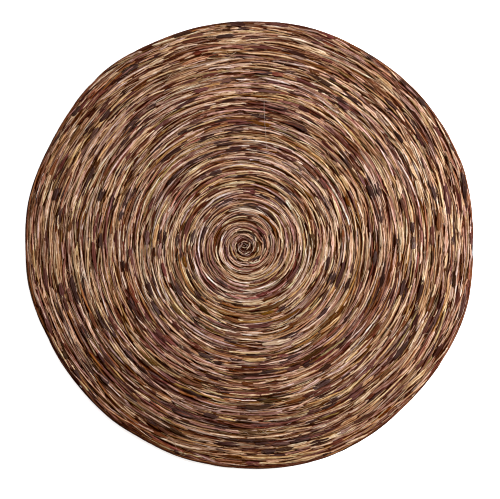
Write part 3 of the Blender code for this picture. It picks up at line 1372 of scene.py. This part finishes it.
ACCENTS = (
    Accent(-24.5, 117.5, 25, 3.4, Tone.STRAW), Accent(-21.5, 118.5, 14, 2.5, Tone.STRAW, 2),
    Accent(-16, 172.5, 19, 3.4, Tone.STRAW), Accent(80, 106.5, 16, 3, Tone.STRAW),
    Accent(94, 113, 44, 1.5, Tone.STRAW, -3), Accent(78.5, 117, 13, 5.1, Tone.PLUM),
    Accent(92.5, 134.5, 14, 4.2, Tone.INK), Accent(69.5, 139, 8, 2.5, Tone.INK),
    Accent(60, 123, 19, 5.1, Tone.HONEY), Accent(115, 131.5, 15, 3.8, Tone.STRAW),
    Accent(115, 133.5, 20, 1.7, Tone.STRAW, 4), Accent(-180.5, 40.5, 24, 3.4, Tone.INK),
    Accent(-134.5, 127.5, 12, 2.5, Tone.RUST), Accent(-175.5, 54.5, 10, 3.4, Tone.RUST),
    Accent(-101.5, 148, 20, 4.2, Tone.INK), Accent(-79, 154.5, 19, 4.2, Tone.STRAW),
    Accent(-63.5, 170.5, 15, 3.4, Tone.HONEY), Accent(-147.5, 112, 15, 3.4, Tone.INK),
    Accent(-124.5, 111.5, 12, 3.4, Tone.PLUM), Accent(-96, 101, 12, 2.5, Tone.INK),
    Accent(-79, 81, 15, 3, Tone.INK), Accent(-57.5, 94.5, 10, 2.5, Tone.INK),
    Accent(-22, 176, 19, 3.4, Tone.INK), Accent(57.5, 170.5, 19, 4.2, Tone.PLUM),
    Accent(56, 164.5, 19, 2.5, Tone.STRAW), Accent(-12, 140, 17, 2.1, Tone.INK),
    Accent(19.5, 137, 12, 2.5, Tone.PLUM), Accent(37, 126, 12, 4.2, Tone.UMBER),
    Accent(22, 114, 22, 4.2, Tone.PLUM), Accent(50, 103, 32, 1.5, Tone.STRAW, 2),
    Accent(-21.5, 104.5, 24, 4.2, Tone.INK), Accent(-46, 99.5, 25, 3.4, Tone.INK),
    Accent(-52.5, 93.5, 10, 2.5, Tone.SAND), Accent(0, 88.5, 17, 2.1, Tone.INK),
    Accent(-31.5, 73.5, 15, 2.5, Tone.INK), Accent(136, 102, 25, 4.7, Tone.INK),
    Accent(125, 91, 14, 3.4, Tone.INK), Accent(128.5, 98.5, 15, 1.9, Tone.ASH),
    Accent(144.5, 120.5, 14, 3.4, Tone.INK), Accent(87, 74, 10, 4.2, Tone.PLUM),
    Accent(78.5, 73.5, 15, 3.4, Tone.INK), Accent(82, 68, 17, 3, Tone.INK),
    Accent(94, 54.5, 14, 4.2, Tone.PLUM), Accent(101.5, 43.5, 15, 4.2, Tone.INK),
    Accent(-166, -12, 34, 2.5, Tone.STRAW), Accent(-107.5, 9, 17, 1.9, Tone.STRAW),
    Accent(-85.5, 25, 20, 3, Tone.STRAW), Accent(-159.5, 43, 12, 4.2, Tone.INK),
    Accent(-126, 42, 17, 4.2, Tone.INK), Accent(-99, 43.5, 12, 3.4, Tone.INK),
    Accent(-66, 55.5, 15, 4.2, Tone.INK), Accent(-145, 24, 25, 5.1, Tone.PLUM),
    Accent(-109.5, 24, 12, 3.4, Tone.INK), Accent(-162, 17.5, 8, 3.4, Tone.HONEY, 8),
    Accent(-160, -39.5, 15, 4.2, Tone.PLUM), Accent(-99, -50.5, 14, 4.2, Tone.INK),
    Accent(-127, -64, 19, 3.8, Tone.INK), Accent(-57, 3, 22, 2.5, Tone.STRAW),
    Accent(59, 47, 25, 3, Tone.STRAW), Accent(63.5, -8, 17, 2.5, Tone.STRAW),
    Accent(-49, 6.5, 14, 3.4, Tone.INK), Accent(166.5, 37, 34, 5.1, Tone.PLUM),
    Accent(142, 45.5, 19, 3.8, Tone.STRAW), Accent(176, 19, 20, 3.8, Tone.STRAW),
    Accent(128.5, 3, 25, 3.4, Tone.STRAW), Accent(124.5, 6.5, 12, 2, Tone.INK),
    Accent(105, -12, 14, 3.4, Tone.INK), Accent(85.5, -15.5, 39, 2.5, Tone.STRAW),
    Accent(98, -10.5, 34, 3, Tone.STRAW), Accent(134.5, -18, 15, 3.4, Tone.INK),
    Accent(68.5, -29, 14, 5.9, Tone.INK), Accent(121, -29, 22, 2.5, Tone.STRAW, -2),
    Accent(155, -39.5, 14, 2.5, Tone.STRAW), Accent(84.5, 48.5, 29, 3.4, Tone.SAND),
    Accent(102.5, 51.5, 19, 5.1, Tone.INK), Accent(171, 3, 10, 2.1, Tone.INK),
    Accent(-140.5, -75, 20, 4.2, Tone.INK), Accent(-102.5, -93.5, 15, 4.2, Tone.INK),
    Accent(-123.5, -114, 15, 5.9, Tone.INK), Accent(-101.5, -130.5, 15, 4.2, Tone.INK),
    Accent(-150, -104.5, 6, 2.2, Tone.STRAW), Accent(-73.5, -130, 19, 3.4, Tone.HONEY),
    Accent(-90.5, -129, 20, 3.4, Tone.STRAW), Accent(-83, -133.5, 14, 4.2, Tone.INK),
    Accent(-57, -143.5, 22, 4.2, Tone.INK), Accent(-76.5, -78.5, 20, 5.1, Tone.PLUM),
    Accent(-37.5, -95, 17, 3.4, Tone.INK), Accent(-1, -94.5, 24, 2.5, Tone.INK),
    Accent(16, -108, 20, 3.4, Tone.INK), Accent(45, -104.5, 15, 2.5, Tone.ASH),
    Accent(-38, -119.5, 11, 1.7, Tone.STRAW), Accent(-51, -125.5, 22, 4.2, Tone.INK),
    Accent(10, -131.5, 13, 2.5, Tone.INK), Accent(14.5, -136.5, 14, 2.5, Tone.INK),
    Accent(10, -153, 17, 2.5, Tone.INK), Accent(-2.5, -166.5, 44, 3.4, Tone.INK),
    Accent(44, -164.5, 19, 5.1, Tone.INK), Accent(39.5, -169.5, 19, 3.4, Tone.STRAW),
    Accent(-15.5, -175.5, 22, 4.2, Tone.HONEY), Accent(17, -175.5, 10, 2.1, Tone.INK),
    Accent(-17, -82.5, 15, 2.5, Tone.INK), Accent(34, -77.5, 25, 3.4, Tone.INK),
    Accent(127.5, -89.5, 22, 4.2, Tone.INK), Accent(80.5, -112, 14, 2.5, Tone.INK),
    Accent(111, -83.5, 17, 2.5, Tone.STRAW, 3), Accent(88, -84, 13, 2.5, Tone.STRAW),
    Accent(87, -59.5, 15, 2.2, Tone.STRAW), Accent(147, -70, 17, 3.4, Tone.STRAW),
    Accent(94.5, -130.5, 20, 4.2, Tone.STRAW), Accent(105.5, -129, 22, 3.8, Tone.INK),
    Accent(67.5, -136.5, 19, 4.2, Tone.INK), Accent(154, -67.5, 25, 4.2, Tone.INK),
    Accent(89, -127.5, 20, 5.9, Tone.PLUM), Accent(81, -159.5, 25, 3.8, Tone.STRAW),
    Accent(-24.5, -32.5, 14, 2.5, Tone.INK), Accent(-35, -19, 14, 3, Tone.INK),
    Accent(16, 3, 13, 1.9, Tone.INK), Accent(-0.5, 33, 24, 3, Tone.INK),
    Accent(7.5, -24, 23, 4.2, Tone.STRAW, 3), Accent(-8.5, 15.5, 8, 1.5, Tone.INK),
    Accent(-19.5, 14, 8, 2, Tone.HONEY), Accent(-13, -20.5, 10, 1.7, Tone.RUST),
    Accent(-21.5, 4, 17, 2.6, Tone.PLUM), Accent(-20, -8, 13, 2.2, Tone.PLUM),
)  # fmt: skip
KNOT = (
    Strand((-11.5, 11.2), (-4.8, 11.8), (1.6, 10.4), 1.4, Tone.STRAW),
    Strand((3.1, 6.8), (4.3, 4.3), (5.8, 1.3), 1.8, Tone.STRAW),
    Strand((6.5, -2.1), (6.3, -4.6), (5.4, -7.1), 1.7, Tone.STRAW),
    Strand((12.4, -2.9), (11.6, -6.1), (9.2, -9.5), 1.8, Tone.STRAW),
    Strand((-1.8, -15.6), (3.7, -15.6), (8.8, -13.5), 2.0, Tone.STRAW),
    Strand((-0.9, -13.1), (4.1, -12.2), (7.9, -9.3), 1.6, Tone.INK),
    Strand((-7.7, -0.8), (-5.6, -3.3), (-2.2, -2.1), 0.9, Tone.STRAW),
    Strand((-0.8, 1.7), (-1.1, -1.2), (-3.9, -5.5), 0.9, Tone.SAND),
    Strand((-9.8, -2.1), (-9.6, -5.9), (-6.0, -8.0), 0.9, Tone.SAND),
    Strand((-6.0, -8.0), (-3.5, -8.0), (-0.9, -5.5), 0.9, Tone.STRAW),
    Strand((-8.6, 0.9), (-5.6, 2.3), (-2.2, 1.7), 0.9, Tone.ROSE),
    Strand((-11.5, 2.2), (-13.1, -2.5), (-11.4, -7.1), 1.0, Tone.HONEY),
    Strand((1.6, 3.0), (2.9, -2.1), (0.3, -7.6), 1.1, Tone.SAND),
    Strand((2.4, -2.1), (3.7, -4.2), (2.4, -7.1), 2.8, Tone.UMBER),
    Strand((-10.3, 7.7), (-3.5, 7.7), (1.2, 3.4), 2.4, Tone.CINNAMON),
    Strand((2.0, 9.8), (7.1, 4.7), (10.5, -0.4), 1.8, Tone.CINNAMON),
    Strand((-0.9, 9.1), (2.0, 7.2), (3.7, 4.3), 1.4, Tone.INK),
    Strand((-9.8, -11.8), (-6.0, -13.9), (-1.8, -13.5), 1.4, Tone.HONEY),
    Strand((-17.4, 6.4), (-14.5, 9.4), (-11.1, 10.8), 1.0, Tone.SAND),
)
STITCHES = (
    Strand((10.9, 127.5), (12.1, 103.5), (13.5, 79.2), 0.3, Tone.ASH),
    Strand((112.5, -69.0), (117.0, -72.4), (121.0, -75.7), 0.36, Tone.ASH),
)
# A layer's shade is painted shade: the bed, the first body blades and the under blades lie below others,
# and the rim's side is darkened; the knot strands' shade above 1 makes them paler.
LAYERS = (
    BladeLayer("bed_blades", BED, 3, 0.80 * MM, overlap=0.30, shade=0.64, inmost=0.5),
    BladeLayer("body_blades_first", BODY, 3, 0.54 * MM, (-0.1 * MM, 0.2 * MM), shade=0.86),
    BladeLayer("leaf_blades", LEAF, 1, 0.05 * MM, (-0.1 * MM, 0.15 * MM), share_kept=0.66, inmost=2.0),
    BladeLayer("body_blades_last", TOP, 3, 0.25 * MM, (-0.1 * MM, 0.25 * MM), share_kept=0.78),
    BladeLayer("fibres", FIBRE, 3, 0.05 * MM, (-0.15 * MM, 0.25 * MM), slant=0.08, share_kept=0.7),
    CoilStart("coil_start", CURL, 1, 0.35 * MM, (-0.2 * MM, 0.35 * MM), inmost=0.0),
    AccentLayer(
        "accent_leaves", LEAF, 1, -0.1 * MM, (-0.06 * MM, 0.06 * MM),
        accents=tuple(row for row in ACCENTS if row.width >= 3),
    ),
    AccentLayer(
        "accent_strands", BODY, 1, -0.06 * MM, (-0.06 * MM, 0.06 * MM),
        accents=tuple(row for row in ACCENTS if row.width < 3),
    ),
    StrandLayer("knot_strands", CURL, 1, -0.65 * MM, (-0.1 * MM, 0.1 * MM), shade=1.2, strands=KNOT),
    BladeLayer("frays", FRAY, 1, -0.25 * MM, (-0.1 * MM, 0.4 * MM), slant=0.5, share_kept=0.14, inmost=3.0),
    Tufts("tufts", FRAY, 1, -0.3 * MM, (-0.1 * MM, 0.5 * MM), slant=0.7, spots=TUFT_SPOTS),
    UnderLayer("under_blades", BED, 3, 0.42 * MM, overlap=0.15, shade=0.8, inmost=0.3),
    RimLayer("rim_blades", BODY, 6, -0.05 * MM, overlap=0.35, slant=0.015, shade=0.32),
)  # fmt: skip


@dataclass(frozen=True)
class Lamp:
    """A square soft lamp that faces the mat: its place, its side in metres and its power in watts."""

    name: str
    place: tuple[float, float, float]
    size: float
    power: float

    def hang(self, colour: tuple[float, float, float]) -> None:
        """Hang the lamp.

        Args:
            colour: The colour of its light.
        """
        data = bpy.data.lights.new(self.name, "AREA")
        data.size = self.size
        data.energy = self.power
        data.color = colour
        lamp = bpy.data.objects.new(self.name, data)
        lamp.location = self.place
        lamp.rotation_euler = Vector(self.place).to_track_quat("Z", "Y").to_euler()
        bpy.context.scene.collection.objects.link(lamp)


@dataclass(frozen=True)
class Studio:
    """The plain pale floor, the soft lights and the camera."""

    lamps: tuple[Lamp, ...] = (
        Lamp("window", (0.69, 0.2, 0.60), 0.32, 15.8),
        Lamp("fill", (-0.1, 0.9, 0.9), 1.0, 8),
    )
    lens_mm: float = 85
    sensor_mm: float = 36
    image_width: int = 500
    image_height: int = 499
    mat_middle: tuple[float, float] = (250.6, 244.1)  # pixel where the round rim has its middle
    mat_pixels: float = 448.8  # the mat's diameter in the picture
    lamp_colour: tuple[float, float, float] = (0.957, 1.0, 1.09)
    room_colour: tuple[float, float, float, float] = (1.0, 0.72, 0.5, 1.0)
    room_light: float = 0.16
    paper: tuple[float, float, float, float] = (0.85, 0.85, 0.85, 1)
    paper_roughness: float = 0.9
    paper_glow: float = 0.8  # the picture's ground is pure white, and the mat throws no shadow on it
    half_floor: float = 6.0
    black_point: float = 0.0021  # the picture's shadows are a little deeper than the real ones
    pixel_blur: float = 1.15  # the picture is crisp to the pixel

    def camera(self, coil: Coil) -> None:
        """Set the camera straight above the mat, where the picture was taken from.

        Args:
            coil: The coil, whose size the camera's distance comes from.
        """
        metres_a_pixel = 2 * coil.radius / self.mat_pixels
        distance = metres_a_pixel * self.image_width * self.lens_mm / self.sensor_mm
        right = (self.image_width / 2 - self.mat_middle[0]) * metres_a_pixel
        away = (self.mat_middle[1] - self.image_height / 2) * metres_a_pixel
        middle = -coil.origin
        data = bpy.data.cameras.new("camera")
        data.lens = self.lens_mm
        data.sensor_width = self.sensor_mm
        camera = bpy.data.objects.new("camera", data)
        camera.location = (middle[0] + right, middle[1] + away, coil.groove + distance)
        bpy.context.scene.collection.objects.link(camera)
        bpy.context.scene.camera = camera

    def floor(self) -> None:
        """Lay the pale floor."""
        bm = bmesh.new()
        bmesh.ops.create_grid(bm, x_segments=1, y_segments=1, size=self.half_floor)
        mesh = bpy.data.meshes.new("floor")
        bm.to_mesh(mesh)
        bm.free()
        material = bpy.data.materials.new("white_paper")
        material.use_nodes = True
        shader = material.node_tree.nodes["Principled BSDF"]
        shader.inputs["Base Color"].default_value = self.paper
        shader.inputs["Roughness"].default_value = self.paper_roughness
        shader.inputs["Emission Color"].default_value = (1, 1, 1, 1)
        shader.inputs["Emission Strength"].default_value = self.paper_glow
        mesh.materials.append(material)
        floor = bpy.data.objects.new("floor", mesh)
        bpy.context.scene.collection.objects.link(floor)

    def build(self, coil: Coil) -> None:
        """Set the whole studio.

        Args:
            coil: The coil that the camera looks at.
        """
        self.camera(coil)
        self.floor()
        for lamp in self.lamps:
            lamp.hang(self.lamp_colour)
        world = bpy.data.worlds.new("studio")
        world.use_nodes = True
        room = world.node_tree.nodes["Background"]
        room.inputs["Color"].default_value = self.room_colour
        room.inputs["Strength"].default_value = self.room_light
        scene = bpy.context.scene
        scene.world = world
        scene.view_settings.view_transform = "Standard"
        scene.view_settings.use_curve_mapping = True
        scene.view_settings.curve_mapping.black_level = (self.black_point,) * 3
        scene.view_settings.curve_mapping.update()
        scene.cycles.filter_width = self.pixel_blur


def main() -> None:
    """Wind the mat, lay its blades and set the studio."""
    logging.basicConfig(level=logging.INFO, format="%(message)s")
    coil = Coil()
    Studio().build(coil)
    grass = DriedGrass().material()
    layers = []
    for order, layer in enumerate(LAYERS):
        layers.append(layer.build(coil, np.random.default_rng([SEED, order]), grass))
    stitches = StrandLayer("sewing_thread", THREAD, 1, -0.5 * MM, strands=STITCHES)
    layers.append(stitches.build(coil, np.random.default_rng(SEED), SewingThread().material()))
    pith = Pith().build(coil, PackedGrassInShade().material())
    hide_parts("coiled_mat")
    for piece in [pith, *layers]:
        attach(piece, "root")


if __name__ == "__main__":
    main()
